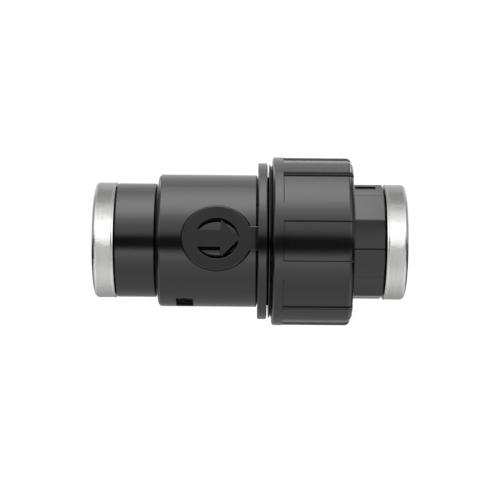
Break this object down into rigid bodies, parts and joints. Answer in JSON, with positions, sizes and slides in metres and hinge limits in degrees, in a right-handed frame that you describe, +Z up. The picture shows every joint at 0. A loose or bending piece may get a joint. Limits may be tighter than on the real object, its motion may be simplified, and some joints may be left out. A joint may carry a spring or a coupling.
{
  "type": "check valve",
  "caption": "Inline spring check valve in black polypropylene, with a union nut, a flow-arrow boss and steel-ringed female threads at both ends.",
  "frame": {"origin": "on the flow axis, at the middle of the face-to-face length", "axes": "+X along the flow from inlet to outlet, -Y the side with the flow-arrow boss, +Z up"},
  "size_m": [0.12, 0.0654, 0.0654],
  "materials": {
    "black_pp": "satin moulded polypropylene",
    "nut_pp": "satin moulded polypropylene",
    "ring_steel": "brushed stainless",
    "spring_steel": "drawn stainless wire",
    "stem_steel": "turned stainless",
    "natural_pom": "natural acetal",
    "grey_pp": "grey glass-filled polypropylene",
    "black_rubber": "EPDM"
  },
  "bodies": {
    "valve_body_group": {"valve_body": "black_pp", "inlet_ring": "ring_steel", "seat_ring": "natural_pom", "seat_o_ring": "black_rubber", "guide_cage": "natural_pom", "stem_bush": "natural_pom", "spring_washer": "stem_steel", "spring": "spring_steel"},
    "poppet_group": {"poppet_head": "grey_pp", "poppet_stem": "stem_steel", "poppet_seal": "black_rubber", "seal_plate": "stem_steel", "lock_washer": "spring_steel", "seal_nut": "stem_steel", "stem_clip": "spring_steel"},
    "outlet_group": {"outlet_connector": "black_pp", "outlet_ring": "ring_steel", "union_o_ring": "black_rubber", "slip_ring": "natural_pom"},
    "nut_group": {"union_nut": "nut_pp"}
  },
  "joints": [
    {"name": "poppet_lift", "type": "slide", "parent": "valve_body_group", "child": "poppet_group", "axis": [1, 0, 0], "range_m": [0, 0.008], "stiffness_N_per_m": 200, "springref_m": -0.013, "deforming": ["spring"]},
    {"name": "connector_slide", "type": "slide", "parent": "valve_body_group", "child": "outlet_group", "axis": [1, 0, 0], "range_m": [0, 0.01401]},
    {"name": "nut_turn", "type": "hinge", "parent": "outlet_group", "child": "nut_group", "pos_m": [0.0233, 0, 0], "axis": [1, 0, 0], "range_deg": [0, 1260]}
  ],
  "couplings": [
    {"joint": "connector_slide", "follows": "nut_turn", "m_per_rad": 0.00063662}
  ]
}
